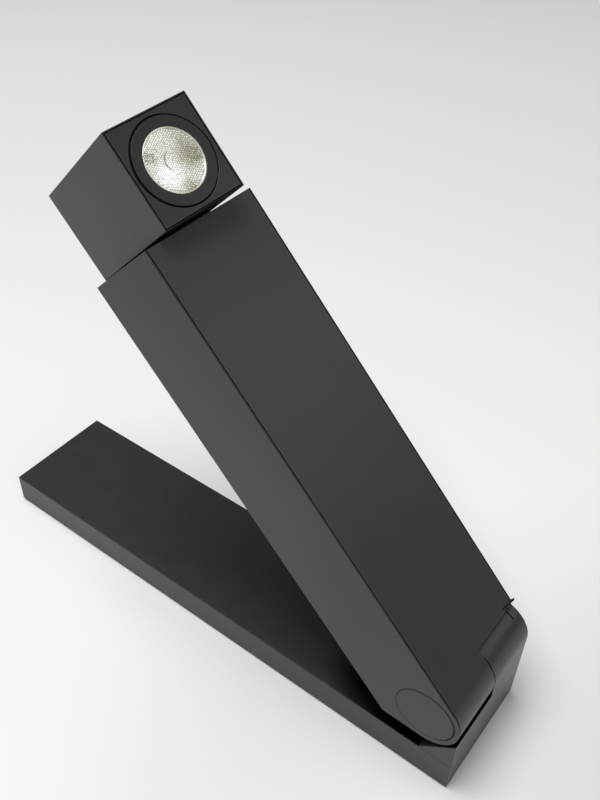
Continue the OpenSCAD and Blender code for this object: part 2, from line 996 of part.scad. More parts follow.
module swivel_tube() {
    inner = head_u + head_wall;
    color([0.5, 0.5, 0.52])
        head_frame()
            difference() {
                union() {
                    bar_x(end_plate_u - swivel_out, inner + 0.5, swivel_r);
                    bar_x(inner, inner + flange_t, flange_r);
                }
                bar_x(end_plate_u - swivel_out - 1, inner + flange_t + 1, swivel_bore);
            }
}

module swivel_nut() {
    color([0.55, 0.55, 0.57])
        head_frame()
            difference() {
                translate([swivel_nut_u, 0, 0])
                    rotate([0, 90, 0])
                        cylinder(h = swivel_nut_t, r = swivel_nut_r, $fn = 6);
                bar_x(swivel_nut_u - 1, swivel_nut_u + swivel_nut_t + 1, swivel_r + 0.02);
            }
}

base_casting();
ballast_plate();
ballast_screws();
bottom_cover();
bottom_cover_screws();
foot_pad();
driver_board();
driver_screws();
power_socket();
hinge_pin();
pin_grub_screw();
disc_springs();
hinge_nut();
arm_channel();
arm_cover();
arm_end_plate();
arm_end_screws();
hinge_bushes();
thrust_washer();
switch_carrier();
switch_board();
control_board();
control_board_screws();
arm_lead();
swivel_bush();
swivel_washer();
push_button();
switch_plunger();
head_shell();
head_front();
head_back();
head_back_screws();
bezel_ring();
lens();
lens_holder();
led_chip();
led_board();
led_board_screws();
heat_sink();
swivel_tube();
swivel_nut();
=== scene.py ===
# Folding LED desk lamp: finishes, lens detail, screws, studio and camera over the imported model.
# Lengths are metres in the model's own frame: X along the base to the hinge, Y to the far side, Z up.
import math

import bmesh
import bpy
from mathutils import Matrix, Vector

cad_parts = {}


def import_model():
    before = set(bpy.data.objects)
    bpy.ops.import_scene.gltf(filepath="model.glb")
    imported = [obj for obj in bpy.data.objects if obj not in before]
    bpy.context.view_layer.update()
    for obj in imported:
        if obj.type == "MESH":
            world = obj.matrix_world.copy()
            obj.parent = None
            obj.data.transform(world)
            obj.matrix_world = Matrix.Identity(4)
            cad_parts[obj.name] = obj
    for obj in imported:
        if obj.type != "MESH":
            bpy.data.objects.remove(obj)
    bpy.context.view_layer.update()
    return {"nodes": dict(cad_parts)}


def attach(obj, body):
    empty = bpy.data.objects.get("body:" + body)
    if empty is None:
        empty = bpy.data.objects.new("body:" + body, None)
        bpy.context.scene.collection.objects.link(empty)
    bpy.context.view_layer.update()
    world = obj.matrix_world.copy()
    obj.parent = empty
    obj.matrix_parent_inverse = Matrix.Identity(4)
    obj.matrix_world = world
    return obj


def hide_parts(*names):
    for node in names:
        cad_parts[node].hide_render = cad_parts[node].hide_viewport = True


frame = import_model()

MM = 0.001
OPEN_ANGLE = math.radians(46.3)
HEAD_LEAN = math.radians(5.6)

# Camera, from the photograph's own lines: place in metres, turn in degrees, lens in millimetres
CAMERA_PLACE = (0.2260, -0.2642, 0.4498)
CAMERA_TURN = (48.567, 0.375, 38.613)
CAMERA_LENS = 41.55
CAMERA_SENSOR = 36
CAMERA_SHIFT = (0.05254, 0.00965)

# Soft lights: name, place, point aimed at, size, power in watts
LIGHTS = (
    ("key", (-0.2, -0.3, 1.8), (0, 0, 0.1), (1.1, 1.1), 36),
    ("far card", (1.15, 0.93, 0.97), (0, 0, 0.1), (0.9, 0.6), 2.0),
    ("end card", (1.3, -0.6, 0.5), (0.1, 0, 0.05), (0.6, 0.5), 3),
)

# The room: light it gives, how pale it looks past the floor, and its colour
ROOM_LIGHT = 0.15
ROOM_SEEN = 0.72
ROOM_COLOUR = (0.9, 0.92, 0.94, 1)

# The floor: half its side, its drop below the foot pad, its two tones, and how it pales and glows far out
FLOOR_HALF = 6.0
FLOOR_DROP = 0.05 * MM
FLOOR_TONES = ((0.79, 0.79, 0.77, 1), (0.81, 0.81, 0.79, 1))
FLOOR_PALE = (0.97, 0.97, 0.94, 1)
FLOOR_PALE_REACH = (0.45, 1.25)
FLOOR_GLOW = (0.62, 0.63, 0.61, 1)
FLOOR_GLOW_REACH = (1.1, 2.3)

# Painted shadows on the floor, past the hinge end and beside it: middle, full within, gone beyond, colour
FLOOR_SHADOWS = (
    ((0.36, -0.02, 0), 0.12, 0.34, (0.65, 0.65, 0.63, 1)),
    ((0.11, -0.1, 0), 0.03, 0.16, (0.72, 0.72, 0.7, 1)),
)

# The hinge axis, the middle of the arm above it, and the top of the base's slab
HINGE = (0.14065, 0, 0.0496)
ARM_MIDDLE = -4.95 * MM
BASE_TOP = 20.4 * MM
ARM_WAY = Vector((-math.cos(OPEN_ANGLE), 0, math.sin(OPEN_ANGLE)))

# The head, from the hinge axis along the arm: its end that faces the arm, and its light
HEAD_START = 252.4 * MM
LIGHT_ALONG = 276.2 * MM

# The lens, from its foot towards the light: its face stands a little further out than the solid's
LENS_R = 15 * MM
LENS_DEPTH = 12 * MM
LENS_FOOT = 22.1 * MM
LENS_PROUD = 0.9 * MM
LENS_FOOT_R = 5.5 * MM
LENS_SKIRT = 1.2 * MM
LENS_SIDES = 128
WELL_R = 3.2 * MM
WELL_DEPTH = 5 * MM

# Pebbles on the lens: pitch, ball radius, how flat, how unlike in size, the share of a pebble's height
# that lies below the rim, the clear border, and the seed
PEBBLE = 1.15 * MM
PEBBLE_BALL = 0.62 * PEBBLE
PEBBLE_RISE = 0.5
PEBBLE_SIZES = (0.9, 1.08)
PEBBLE_SUNK = 0.9
PEBBLE_BORDER = 1.3 * MM
PEBBLE_SEED = 3

# The round seam of the button, on the arm's near side, and that of the bezel, on the head's front
SEAM = Vector((0.14065, -0.035, 0.0496))
SEAM_R = 15.7 * MM
SEAM_SHADE = Vector((0.4, 0, 0.4)) * MM
GROOVE_R = 20.8 * MM

# How far the painted crevice shade looks from one surface to the next
SHADE_REACH = 40 * MM

# Screws: shank and head, and the flat heads under the base
SCREW_R = 1.5 * MM
SCREW_HEAD_R = 2.75 * MM
SCREW_HEAD_T = 1.7 * MM
FLAT_HEAD_T = 0.9 * MM
SCREW_LENGTH = 10 * MM
SCREW_SIDES = 48

# The hinge leaf in the arm's frame: its inner end, turn, half width, length, how far it stands below and
# above that end, and two corners of the leg beside it
LEAF_END = Vector((11.8, -26.6, 18.2)) * MM
LEAF_SLANT = math.atan2(1.75, 10.4)
LEAF_HALF = 0.45 * MM
LEAF_LENGTH = 10.3 * MM
LEAF_BELOW = 0.4 * MM
LEAF_ABOVE = 0.62 * MM
LEG_LOW = Vector((9.95, -29.5, 17.8)) * MM
LEG_HIGH = Vector((12.2, -28.7, 18.82)) * MM


# Frames of the moving parts at rest


def in_arm():
    """The arm's own frame: X runs to the tip, Y to the near side, Z out of the top face."""
    turn = Matrix.Rotation(OPEN_ANGLE, 4, "Y") @ Matrix.Rotation(math.pi, 4, "Z")
    return Matrix.Translation(HINGE) @ turn


def in_head():
    """The head's own frame: X on along the arm from its tip, Z the way the light points."""
    return in_arm() @ Matrix.Translation((0, 0, ARM_MIDDLE)) @ Matrix.Rotation(-HEAD_LEAN, 4, "X")


def on_lens(along, across):
    """A point on the lens face, in millimetres from its middle: along the arm, and to the near side."""
    return in_head() @ Vector((LIGHT_ALONG + along * MM, across * MM, LENS_FOOT + LENS_DEPTH))


# Shader maths


class Value:
    """A number on a socket. Sums on it add Math nodes to its tree."""

    def __init__(self, finish, socket):
        self.finish = finish
        self.socket = socket

    def math(self, operation, left, right=None):
        node = self.finish.tree.nodes.new("ShaderNodeMath")
        node.operation = operation
        for place, item in enumerate((left, right)):
            if item is not None:
                self.finish.feed(node.inputs[place], item)
        return Value(self.finish, node.outputs[0])

    def __add__(self, other):
        return self.math("ADD", self, other)

    def __radd__(self, other):
        return self.math("ADD", other, self)

    def __sub__(self, other):
        return self.math("SUBTRACT", self, other)

    def __rsub__(self, other):
        return self.math("SUBTRACT", other, self)

    def __mul__(self, other):
        return self.math("MULTIPLY", self, other)

    def __rmul__(self, other):
        return self.math("MULTIPLY", other, self)

    def capped(self):
        """The value, at most 1."""
        return self.math("MINIMUM", self, 1.0)

    def above(self, low, high):
        """0 below low, 1 above high and smooth between."""
        smooth = {"interpolation_type": "SMOOTHSTEP"}
        node = self.finish.node("ShaderNodeMapRange", smooth, Value=self, From_Min=low, From_Max=high)
        return Value(self.finish, node.outputs["Result"])


class Finish:
    """One procedural material: a Principled shader and the nodes that feed it."""

    def __init__(self, name, **constants):
        self.material = bpy.data.materials.new(name)
        self.material.use_nodes = True
        self.tree = self.material.node_tree
        self.tree.nodes.clear()
        self.shader = self.tree.nodes.new("ShaderNodeBsdfPrincipled")
        output = self.tree.nodes.new("ShaderNodeOutputMaterial")
        self.tree.links.new(self.shader.outputs[0], output.inputs["Surface"])
        self.place = self.tree.nodes.new("ShaderNodeTexCoord").outputs["Object"]
        self.set(**constants)

    def feed(self, socket, item):
        if isinstance(item, Value):
            item = item.socket
        if isinstance(item, bpy.types.NodeSocket):
            self.tree.links.new(item, socket)
        else:
            socket.default_value = item

    def node(self, kind, settings=None, **sockets):
        """A node of that kind: its settings first, then values or links on its sockets."""
        made = self.tree.nodes.new(kind)
        for name, value in (settings or {}).items():
            setattr(made, name, value)
        for name, value in sockets.items():
            self.feed(made.inputs[name.replace("_", " ")], value)
        return made

    def set(self, **sockets):
        for name, value in sockets.items():
            self.feed(self.shader.inputs[name.replace("_", " ")], value)

    def noise(self, size, detail=2.0, roughness=0.5, stretch=None):
        """Noise from 0 to 1 whose grains are about size across, in metres."""
        place = self.place
        if stretch:
            place = self.node("ShaderNodeMapping", Vector=self.place, Scale=stretch).outputs[0]
        grain = {"Scale": 1 / size, "Detail": detail, "Roughness": roughness}
        return Value(self, self.node("ShaderNodeTexNoise", Vector=place, **grain).outputs["Fac"])

    def vectors(self, operation, left, right):
        """The number that a sum on two vectors gives."""
        node = self.tree.nodes.new("ShaderNodeVectorMath")
        node.operation = operation
        self.feed(node.inputs[0], left)
        self.feed(node.inputs[1], right)
        return Value(self, node.outputs["Value"])

    def near(self, point, inner, outer):
        """1 within inner of a point, 0 beyond outer."""
        return 1 - self.vectors("DISTANCE", self.place, tuple(point)).above(inner, outer)

    def crevice_shade(self, low, high):
        """1 where surfaces within the painted shade's reach close over a point, 0 in the open: the mask of
        painted shade in crevices.
        """
        made = self.node("ShaderNodeAmbientOcclusion", {"samples": 8}, Distance=SHADE_REACH)
        return (1 - Value(self, made.outputs["AO"])).above(low, high)

    def along(self, start, way):
        """Distance from a point along a direction, in metres."""
        return self.vectors("DOT_PRODUCT", self.place, tuple(way)) - Vector(start).dot(Vector(way))

    def cells(self, size, feature="F1", output="Distance"):
        """Voronoi cells about size across."""
        made = self.node("ShaderNodeTexVoronoi", {"feature": feature}, Vector=self.place, Scale=1 / size)
        return Value(self, made.outputs[output])

    def mix(self, factor, low, high):
        """A colour between two colours."""
        made = self.tree.nodes.new("ShaderNodeMix")
        made.data_type = "RGBA"
        self.feed(made.inputs[0], factor)
        self.feed(made.inputs[6], low)
        self.feed(made.inputs[7], high)
        return made.outputs[2]

    def bump(self, height, strength, depth, normal=None):
        made = self.node("ShaderNodeBump", Height=height, Strength=strength, Distance=depth)
        if normal is not None:
            self.feed(made.inputs["Normal"], normal)
        return made.outputs[0]

    def round_edge(self, radius):
        """The normal of a surface whose edges are rounded by radius, and a mask that is 1 on them."""
        rounded = self.node("ShaderNodeBevel", {"samples": 6}, Radius=radius).outputs[0]
        flat = self.node("ShaderNodeNewGeometry").outputs["Normal"]
        turned_by = 1 - self.vectors("DOT_PRODUCT", rounded, flat)
        return rounded, turned_by.above(0.01, 0.22)


def grey(level, warmth=0.0):
    """A grey, a little warm or cool."""
    return (level * (1 + warmth), level, level * (1 - warmth), 1)


# Finishes


def wedge_shade(f):
    """Painted shade where the base's top runs under the arm."""
    height = f.along((0, 0, BASE_TOP), (0, 0, 1))
    on_top = height.above(-0.5 * MM, -0.1 * MM)
    on_ramp = height.above(0.3 * MM, 1.5 * MM)
    return f.crevice_shade(0.12, 0.36) * (on_top - on_ramp)


def end_shade(f):
    """Painted shade on the head's end that faces the arm."""
    return 0.9 * (1 - f.along(HINGE, ARM_WAY).above(HEAD_START + 0.2 * MM, HEAD_START + 0.7 * MM))


def round_shadow(f, centre, shift, radius, inside, outside):
    """A ring of painted shadow round a circular joint, broader on the side that shift points to."""
    disc = f.near(centre + shift, radius + outside, radius + outside + 0.3 * MM)
    hole = f.near(centre, radius - inside, radius - inside + 0.2 * MM)
    return (disc - hole).above(0, 1)


def powder_coat(name="black powder coat", level=0.022, dust_and_shade=None):
    """Fine matt black coat: pin-head grain, soft mottling, rubbed edges that are also a painted edge
    highlight, and painted shade in corners and round the seams.
    """
    f = Finish(name, IOR=1.5)
    grain = f.noise(0.35 * MM, 3, 0.6)
    mottle = f.noise(14 * MM, 3, 0.55)
    scuff = f.noise(3 * MM, 4, 0.7, stretch=(1, 3, 3)).above(0.62, 0.8)
    rounded, edge = f.round_edge(0.3 * MM)
    # Edges lighter and smoother: partly rubbed wear, partly a painted edge highlight
    wear_and_highlight = edge * (0.35 + 0.65 * f.noise(6 * MM, 3, 0.6).above(0.35, 0.7))
    # Painted shade in crevices, and the part's own extra painted shade
    corner_shade = f.crevice_shade(0.42, 0.7)
    if dust_and_shade:
        corner_shade = corner_shade + dust_and_shade(f)
    # Painted shadow round the button's seam
    seam_shadow = round_shadow(f, SEAM, SEAM_SHADE, SEAM_R, 0.2 * MM, 0.2 * MM)
    body = f.mix(grain * 0.5 + mottle * 0.5, grey(level * 0.8, 0.015), grey(level * 1.25, 0.02))
    body = f.mix(wear_and_highlight, body, grey(level * 3.2, 0.03))
    # Painted shadow round the bezel's groove, broader towards the near side
    lens_middle = on_lens(0, 0)
    groove_shade = on_lens(0, 0.45) - lens_middle
    groove_shadow = round_shadow(f, lens_middle, groove_shade, GROOVE_R, 0.7 * MM, 0.1 * MM)
    # All the painted shade darkens the colour nearly to black, and makes it metallic and rougher
    painted_shade = (corner_shade + 0.75 * seam_shadow + 0.8 * groove_shadow).capped()
    f.set(Base_Color=f.mix(painted_shade, body, grey(0.001)))
    f.set(Metallic=painted_shade)
    f.set(Roughness=0.31 + 0.1 * mottle + 0.06 * scuff - 0.08 * wear_and_highlight + 0.2 * painted_shade)
    f.set(Normal=f.bump(grain, 0.2, 0.008 * MM, rounded))
    return f.material


def moulded_black():
    """Injection-moulded black plastic with a spark-eroded grain."""
    f = Finish("moulded black plastic", IOR=1.46)
    grain = f.noise(0.5 * MM, 2)
    rounded, edge = f.round_edge(0.25 * MM)
    # Edges lighter: a painted edge highlight
    f.set(Base_Color=f.mix(edge, f.mix(grain, grey(0.012), grey(0.02)), grey(0.04)))
    f.set(Roughness=0.5 + 0.12 * f.noise(5 * MM))
    f.set(Normal=f.bump(grain, 0.3, 0.03 * MM, rounded))
    return f.material


def zinc_steel():
    """Bright zinc on small steel parts, clouded by handling."""
    f = Finish("zinc-plated steel", Metallic=1.0)
    cloud = f.noise(1.8 * MM, 4, 0.65)
    rounded, edge = f.round_edge(0.2 * MM)
    f.set(Base_Color=f.mix(cloud, grey(0.42, -0.02), grey(0.62, 0.02)))
    f.set(Roughness=0.24 + 0.22 * cloud - 0.08 * edge)
    f.set(Normal=f.bump(f.noise(0.25 * MM), 0.12, 0.02 * MM, rounded))
    return f.material


def black_screw():
    """Black-oxide screw steel, bright where the driver has rubbed."""
    f = Finish("black oxide steel", Metallic=1.0)
    rub = f.noise(0.9 * MM, 3, 0.6)
    rounded, edge = f.round_edge(0.15 * MM)
    f.set(Base_Color=f.mix(edge * rub, grey(0.05), grey(0.24, 0.02)))
    f.set(Roughness=0.34 + 0.2 * rub)
    f.set(Normal=f.bump(rub, 0.15, 0.02 * MM, rounded))
    return f.material


def leaf_black():
    """Dead-black thin leaf, darker than the coat so that it also stands in for the shade of the gap beside
    it: partly painted shade.
    """
    f = Finish("leaf black", IOR=1.3)
    grain = f.noise(0.4 * MM, 2)
    f.set(Base_Color=f.mix(grain, grey(0.002), grey(0.006)))
    f.set(Roughness=0.75 + 0.15 * grain)
    f.set(Normal=f.bump(grain, 0.2, 0.02 * MM))
    return f.material


def rolled_steel():
    """Thick rolled plate: long faint streaks along X and sheared edges."""
    f = Finish("rolled steel plate", Metallic=1.0)
    streak = f.noise(0.8 * MM, 4, 0.6, stretch=(0.04, 1, 1))
    stain = f.noise(18 * MM, 3, 0.6)
    f.set(Base_Color=f.mix(streak * 0.5 + stain * 0.5, grey(0.22), grey(0.4, 0.03)))
    f.set(Roughness=0.36 + 0.2 * stain)
    f.set(Normal=f.bump(streak, 0.2, 0.03 * MM))
    return f.material


def pad_rubber():
    """Dull rubber foot sheet with a fine cross-hatched tooth."""
    f = Finish("foot rubber", IOR=1.45)
    tooth = f.cells(1.1 * MM)
    dust_and_shade = f.noise(9 * MM, 4, 0.65).above(0.55, 0.8)
    f.set(Base_Color=f.mix(dust_and_shade * 0.5, grey(0.014), grey(0.045, 0.04)))
    f.set(Roughness=0.78 + 0.12 * dust_and_shade)
    f.set(Normal=f.bump(tooth, 0.5, 0.12 * MM))
    return f.material


def circuit_green():
    """Solder mask over copper tracks."""
    f = Finish("green circuit board", Coat_Weight=0.4, Coat_Roughness=0.15)
    tracks = f.cells(2.4 * MM, "DISTANCE_TO_EDGE").above(0.05, 0.12)
    weave_and_shade = f.noise(0.4 * MM)
    f.set(Base_Color=f.mix(tracks, (0.03, 0.2, 0.08, 1), (0.01, 0.09, 0.04, 1)))
    f.set(Roughness=0.3 + 0.15 * weave_and_shade)
    f.set(Normal=f.bump(tracks, 0.3, 0.05 * MM))
    return f.material


def sintered_bronze():
    """Porous oiled bronze."""
    f = Finish("sintered bronze", Metallic=1.0)
    pores = f.noise(0.3 * MM, 3, 0.7).above(0.3, 0.55)
    f.set(Base_Color=f.mix(pores, (0.12, 0.07, 0.03, 1), (0.5, 0.32, 0.14, 1)))
    f.set(Roughness=0.55 - 0.2 * pores)
    f.set(Normal=f.bump(pores, 0.3, 0.04 * MM))
    return f.material


def slide_acetal():
    """Natural acetal, a waxy off-white."""
    f = Finish("natural acetal", IOR=1.48, Subsurface_Weight=0.1)
    haze = f.noise(4 * MM, 3)
    f.set(Base_Color=f.mix(haze, (0.62, 0.61, 0.56, 1), (0.72, 0.71, 0.66, 1)))
    f.set(Roughness=0.38 + 0.1 * haze)
    f.set(Normal=f.bump(f.noise(0.6 * MM), 0.1, 0.02 * MM))
    return f.material


def ribbon_jacket():
    """Ribbon cable: shallow ribs along the arm, one for each core."""
    f = Finish("ribbon cable", IOR=1.45)
    ribs = f.node("ShaderNodeTexWave", {"bands_direction": "Y"}, Vector=f.place, Scale=1 / (8 * MM))
    rib = Value(f, ribs.outputs["Fac"])
    f.set(Base_Color=f.mix(rib, grey(0.02), grey(0.05)))
    f.set(Roughness=0.55 + 0.1 * f.noise(3 * MM))
    f.set(Normal=f.bump(rib, 0.4, 0.2 * MM))
    return f.material


def silver_lens():
    """Clear pebbled moulding over its own bright cone, its colour all painted light: a cream-white painted
    reflection, painted shade darker and straw-coloured to the far side, brightest at the near side under a
    painted glare that also glows faintly, with dark specks in two clusters and the arc of the well's edge
    as painted reflections of dark surroundings."""
    f = Finish("pebbled lens", IOR=1.49, Coat_Weight=0.5, Coat_Roughness=0.08)
    blotch = f.noise(2.2 * MM, 3, 0.6)
    fleck = f.noise(0.9 * MM, 2, 0.6)
    # Painted shade: darker and straw-coloured to the far side, and darker towards the tip and the arm
    far_shade = f.near(on_lens(0, -8.5), 2 * MM, 10.5 * MM) * (0.65 + 0.5 * blotch)
    tip_shade = f.near(on_lens(11, -9), 1 * MM, 9 * MM) * 0.5
    arm_shade = f.near(on_lens(-13, 0), 1 * MM, 6 * MM) * 0.7
    shade = (far_shade + (tip_shade + arm_shade)).capped()
    # Painted highlight: a glare on a cream-white painted reflection, brightest at the near side
    glare = f.near(on_lens(-4.5, 6.5), 1.5 * MM, 9 * MM)
    cream = f.mix(glare, (0.7, 0.685, 0.62, 1), (0.94, 0.93, 0.95, 1))
    # Painted shade between the pebbles and in blotches
    weave_and_shade = f.cells(1.0 * MM).above(0.25, 0.8) * 0.35 + blotch.above(0.4, 0.7) * 0.2
    cream = f.mix(weave_and_shade, cream, (0.5, 0.49, 0.43, 1))
    base = f.mix(shade, cream, (0.29, 0.28, 0.19, 1))
    # Painted reflections of dark surroundings: dark specks, thicker in two clusters, and the dark arc of
    # the well's edge seen through the lens
    near_cluster = f.near(on_lens(6, 10.5), 1.5 * MM, 5.5 * MM)
    cluster = near_cluster + f.near(on_lens(-1.2, -10.5), 2 * MM, 5.5 * MM)
    speck = (fleck + 0.16 * cluster).above(0.62, 0.68)
    arc = f.near(on_lens(0, 0), 5.3 * MM, 5.8 * MM) - f.near(on_lens(0, 0), 4.4 * MM, 4.9 * MM)
    arc = arc * f.near(on_lens(1.5, 5.5), 3 * MM, 6.5 * MM)
    dark = (speck * 0.75 + arc * (0.45 + 0.4 * fleck)).capped()
    f.set(Base_Color=f.mix(dark, base, (0.12, 0.11, 0.08, 1)))
    f.set(Roughness=0.25 + 0.15 * blotch)
    f.set(Metallic=0.1 + 0.2 * blotch)
    # The painted glare also glows a little, though the lens is no lamp
    f.set(Emission_Color=f.mix(glare * (1 - dark), grey(0), (0.95, 0.93, 1, 1)))
    f.set(Emission_Strength=0.1)
    return f.material


def phosphor():
    """Yellow phosphor under clear resin."""
    f = Finish("phosphor", Coat_Weight=0.8, Coat_Roughness=0.08)
    speck = f.noise(0.2 * MM, 3)
    f.set(Base_Color=f.mix(speck, (0.8, 0.5, 0.04, 1), (0.95, 0.72, 0.12, 1)))
    f.set(Roughness=0.4 + 0.1 * speck)
    f.set(Normal=f.bump(speck, 0.2, 0.02 * MM))
    return f.material


def extruded_aluminium():
    """Bare aluminium with die lines along its length."""
    f = Finish("extruded aluminium", Metallic=1.0)
    lines = f.noise(0.5 * MM, 4, 0.6, stretch=(0.05, 1, 1))
    f.set(Base_Color=f.mix(lines, grey(0.6), grey(0.78, -0.01)))
    f.set(Roughness=0.3 + 0.15 * lines)
    f.set(Normal=f.bump(lines, 0.2, 0.02 * MM))
    return f.material


def dress(finish, *nodes):
    """Puts one finish on CAD nodes."""
    for name in nodes:
        slots = frame["nodes"][name].data.materials
        slots.clear()
        slots.append(finish)


# Pieces made here


def islands(node):
    """The points of each separate solid of a CAD node."""
    mesh = bmesh.new()
    mesh.from_mesh(frame["nodes"][node].data)
    bmesh.ops.remove_doubles(mesh, verts=mesh.verts, dist=1e-6)
    left = set(mesh.verts)
    groups = []
    while left:
        waiting = [left.pop()]
        group = list(waiting)
        while waiting:
            for edge in waiting.pop().link_edges:
                for vert in edge.verts:
                    if vert in left:
                        left.remove(vert)
                        waiting.append(vert)
                        group.append(vert)
        groups.append([vert.co.copy() for vert in group])
    mesh.free()
    return groups


def new_object(name, mesh):
    made = bpy.data.objects.new(name, mesh)
    bpy.context.scene.collection.objects.link(made)
    return made


def new_mesh(name, verts, faces=()):
    data = bpy.data.meshes.new(name)
    data.from_pydata([tuple(vert) for vert in verts], [], list(faces))
    mesh = bmesh.new()
    mesh.from_mesh(data)
    bmesh.ops.recalc_face_normals(mesh, faces=mesh.faces)
    mesh.to_mesh(data)
    mesh.free()
    return data


def turned(name, profile, sides, reach=None):
    """A closed solid swept round Z by a profile of (radius, height). reach(place, angle) scales a ring."""
    verts = []
    for place, (radius, height) in enumerate(profile):
        for step in range(sides):
            angle = 2 * math.pi * step / sides
            far = radius * (reach(place, angle) if reach else 1)
            verts.append((far * math.cos(angle), far * math.sin(angle), height))
    faces = []
    for place in range(len(profile) - 1):
        for step in range(sides):
            after = (step + 1) % sides
            low, high = place * sides, (place + 1) * sides
            faces.append((low + step, low + after, high + after, high + step))
    faces.append(tuple(range(sides)))
    faces.append(tuple(range(len(verts) - sides, len(verts))))
    return new_mesh(name, verts, faces)


def socket_screw(head_r, head_t, shank_r, length):
    """A screw with a six-sided recess. Its head's face is at height 0 and its shank points up."""
    chamfer = 0.12 * head_r
    recess_r = 0.5 * head_r
    recess_t = 0.55 * head_t
    profile = [
        (recess_r, recess_t), (recess_r, 0), (head_r - chamfer, 0), (head_r, chamfer),
        (head_r, head_t), (shank_r, head_t), (shank_r, length),
    ]

    def six_sided(place, angle):
        if place > 1:
            return 1
        turn = angle % (math.pi / 3) - math.pi / 6
        return math.cos(math.pi / 6) / math.cos(turn)

    return turned("screw pattern", profile, SCREW_SIDES, six_sided)


SOCKET_KINDS = {
    "Geometry": "NodeSocketGeometry",
    "Piece": "NodeSocketObject",
    "Finish": "NodeSocketMaterial",
    "Way": "NodeSocketVector",
    "Seed": "NodeSocketInt",
}


class Tree:
    """A Geometry Nodes tree with named inputs and one geometry output."""

    def __init__(self, name, *inputs):
        self.tree = bpy.data.node_groups.new(name, "GeometryNodeTree")
        sockets = self.tree.interface
        for item in inputs:
            kind = SOCKET_KINDS.get(item, "NodeSocketFloat")
            sockets.new_socket(item, in_out="INPUT", socket_type=kind)
        sockets.new_socket("Geometry", in_out="OUTPUT", socket_type="NodeSocketGeometry")
        self.inputs = self.tree.nodes.new("NodeGroupInput").outputs
        self.end = self.tree.nodes.new("NodeGroupOutput")

    def node(self, kind, settings=None, **sockets):
        """A node of that kind: its settings first, then values or links on its sockets."""
        made = self.tree.nodes.new(kind)
        for name, value in (settings or {}).items():
            setattr(made, name, value)
        for name, value in sockets.items():
            place = int(name[1:]) if name[1:].isdigit() else name.replace("_", " ")
            if isinstance(value, bpy.types.NodeSocket):
                self.tree.links.new(value, made.inputs[place])
            else:
                made.inputs[place].default_value = value
        return made.outputs

    def math(self, operation, left, right):
        return self.node("ShaderNodeMath", {"operation": operation}, s0=left, s1=right)[0]

    def close(self, copies):
        """Makes the copies real, gives them their finish and ends the tree."""
        real = self.node("GeometryNodeRealizeInstances", s0=copies)[0]
        done = self.node("GeometryNodeSetMaterial", Geometry=real, Material=self.inputs["Finish"])[0]
        self.tree.links.new(done, self.end.inputs[0])
        return self.tree


def screw_tree():
    """Copies of one piece on points, turned to point along Way."""
    t = Tree("screws", "Geometry", "Piece", "Way", "Finish")
    piece = t.node("GeometryNodeObjectInfo", Object=t.inputs["Piece"])["Geometry"]
    turn = t.node("FunctionNodeAlignRotationToVector", {"axis": "Z"}, Vector=t.inputs["Way"])[0]
    start = t.node("GeometryNodeMeshToPoints", s0=t.inputs["Geometry"])[0]
    return t.close(t.node("GeometryNodeInstanceOnPoints", Points=start, Instance=piece, Rotation=turn)[0])


def pebble_tree():
    """Flattened balls in staggered rows over a disc of radius Reach, each a little off in size."""
    t = Tree("pebbles", "Geometry", "Pitch", "Ball", "Rise", "Reach", "Seed", "Finish")
    pitch, reach = t.inputs["Pitch"], t.inputs["Reach"]
    rows = t.math("MULTIPLY", pitch, math.sqrt(3))
    across = t.math("MULTIPLY", reach, 2)
    count_x = t.math("CEIL", t.math("DIVIDE", across, pitch), 0.0)
    count_y = t.math("CEIL", t.math("DIVIDE", across, rows), 0.0)
    grid = t.node(
        "GeometryNodeMeshGrid",
        Size_X=t.math("MULTIPLY", pitch, count_x),
        Size_Y=t.math("MULTIPLY", rows, count_y),
        Vertices_X=t.math("ADD", count_x, 1.0),
        Vertices_Y=t.math("ADD", count_y, 1.0),
    )["Mesh"]
    step = t.node("ShaderNodeCombineXYZ", X=t.math("DIVIDE", pitch, 2.0), Y=t.math("DIVIDE", rows, 2.0))[0]
    second = t.node("GeometryNodeTransform", Geometry=grid, Translation=step)[0]
    join = t.tree.nodes.new("GeometryNodeJoinGeometry")
    t.tree.links.new(grid, join.inputs[0])
    t.tree.links.new(second, join.inputs[0])
    place = t.node("GeometryNodeInputPosition")[0]
    far = t.node("ShaderNodeVectorMath", {"operation": "LENGTH"}, s0=place)["Value"]
    outside = t.node("FunctionNodeCompare", {"operation": "GREATER_THAN"}, A=far, B=reach)[0]
    kept = t.node("GeometryNodeDeleteGeometry", Geometry=join.outputs[0], Selection=outside)[0]
    ball = t.node("GeometryNodeMeshIcoSphere", Radius=t.inputs["Ball"], Subdivisions=3)["Mesh"]
    flat = t.node("ShaderNodeCombineXYZ", X=1.0, Y=1.0, Z=t.inputs["Rise"])[0]
    ball = t.node("GeometryNodeTransform", Geometry=ball, Scale=flat)[0]
    size = t.node("FunctionNodeRandomValue", {"data_type": "FLOAT"}, Seed=t.inputs["Seed"])
    size_node = size[1].node
    size_node.inputs[2].default_value, size_node.inputs[3].default_value = PEBBLE_SIZES
    copies = t.node("GeometryNodeInstanceOnPoints", Points=kept, Instance=ball, Scale=size[1])[0]
    return t.close(copies)


def grown(name, base, tree, **inputs):
    """The plain mesh that a Geometry Nodes tree makes from base."""
    holder = new_object(name + "_source", base)
    modifier = holder.modifiers.new(name, "NODES")
    modifier.node_group = tree
    for item in tree.interface.items_tree:
        if item.in_out == "INPUT" and item.name in inputs:
            modifier[item.identifier] = inputs[item.name]
    view = bpy.context.evaluated_depsgraph_get()
    made = bpy.data.meshes.new_from_object(holder.evaluated_get(view))
    bpy.data.objects.remove(holder)
    made.name = name
    return made


